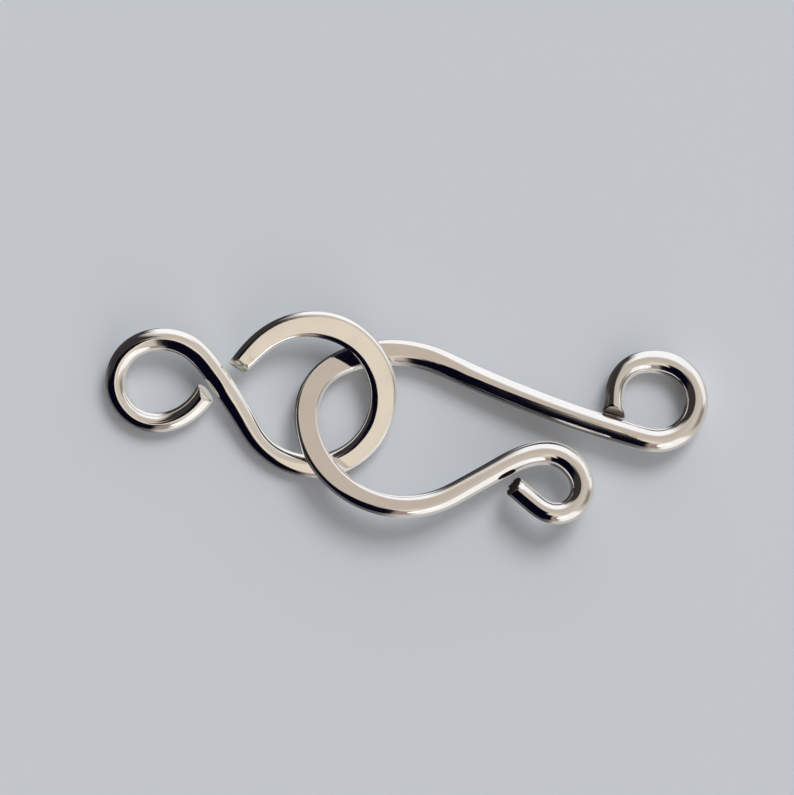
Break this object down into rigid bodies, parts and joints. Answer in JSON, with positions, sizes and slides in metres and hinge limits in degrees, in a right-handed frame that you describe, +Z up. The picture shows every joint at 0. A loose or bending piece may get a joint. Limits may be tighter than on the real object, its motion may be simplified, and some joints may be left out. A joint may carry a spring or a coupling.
{
  "type": "necklace clasp",
  "caption": "Hook-and-eye necklace clasp of bent wire, fastened and lying flat: a hammered ring held in a hook with a curled tip, each with a loop for a chain.",
  "frame": {"origin": "on the table, under the middle of the fastened clasp's length and width", "axes": "+X along the clasp, from the eye's chain loop to the hook's chain loop; +Y across it, from the hook's arm to its shank; +Z up from the table"},
  "size_m": [0.024, 0.0084, 0.002],
  "materials": {
    "eye_silver": "polished, hammered flat round the ring",
    "hook_silver": "polished, lightly hammered round the bend"
  },
  "bodies": {
    "hook": {"hook": "hook_silver"},
    "eye": {"eye": "eye_silver"}
  },
  "joints": [
    {"name": "eye_swing", "type": "hinge", "parent": "hook", "child": "eye", "pos_m": [-0.0021, -0.0002, 0.0009], "axis": [0, 0, 1], "range_deg": [-15, 15]}
  ]
}
